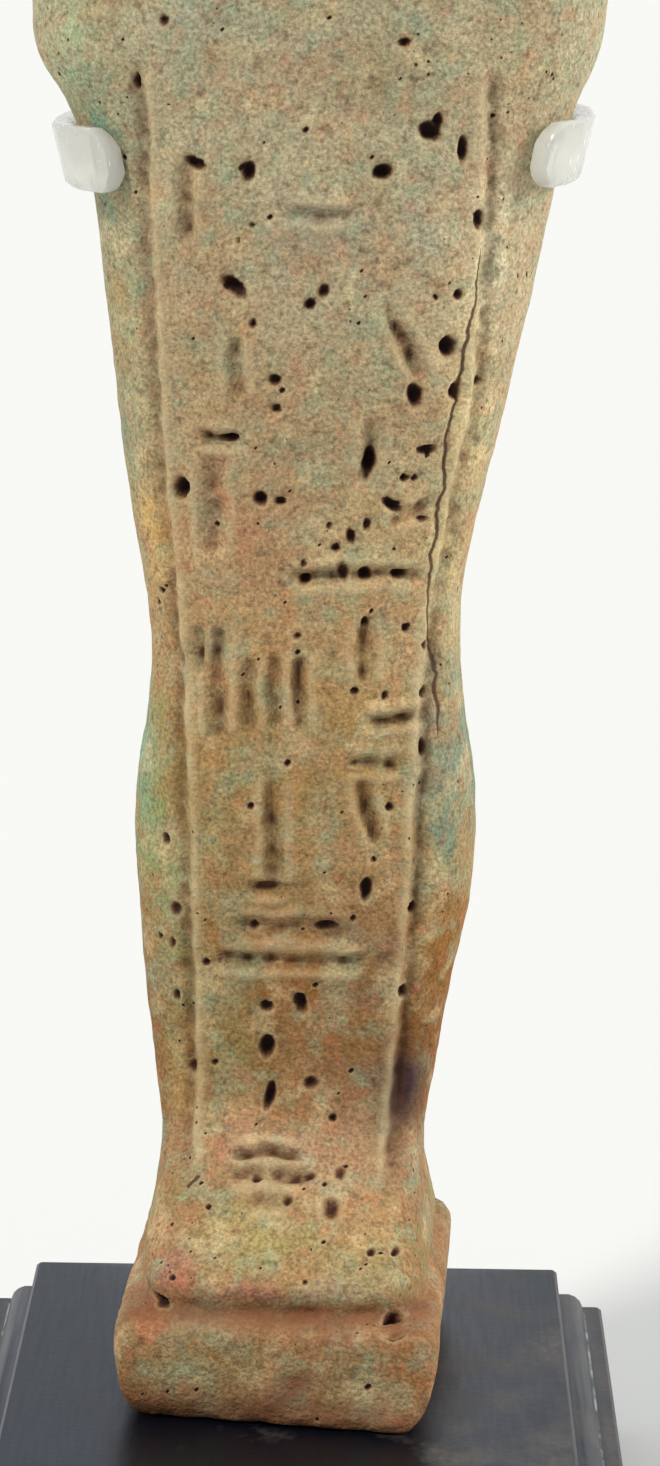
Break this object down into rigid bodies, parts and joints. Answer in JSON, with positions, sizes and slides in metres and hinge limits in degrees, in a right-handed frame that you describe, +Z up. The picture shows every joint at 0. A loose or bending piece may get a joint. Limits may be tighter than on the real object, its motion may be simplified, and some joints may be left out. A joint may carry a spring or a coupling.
{
  "type": "ushabti figurine",
  "caption": "Mummiform Egyptian faience ushabti with an inscribed front and dorsal pillar, held upright by a clear acrylic cradle on a moulded black plinth.",
  "frame": {"origin": "middle of the plinth's underside, on the surface that it stands on", "axes": "+Z up, -Y towards the figurine's front, +X to the figurine's left"},
  "size_m": [0.0622, 0.0718, 0.2191],
  "materials": {
    "weathered_faience": "matt, worn glaze with turquoise remains and brown pits",
    "clear_acrylic": "clear cast acrylic with softly polished edges",
    "black_plinth": "black satin lacquer, lightly scratched and dusty"
  },
  "bodies": {
    "root": {"ushabti": "weathered_faience", "acrylic_cradle": "clear_acrylic", "display_plinth": "black_plinth"}
  },
  "joints": []
}
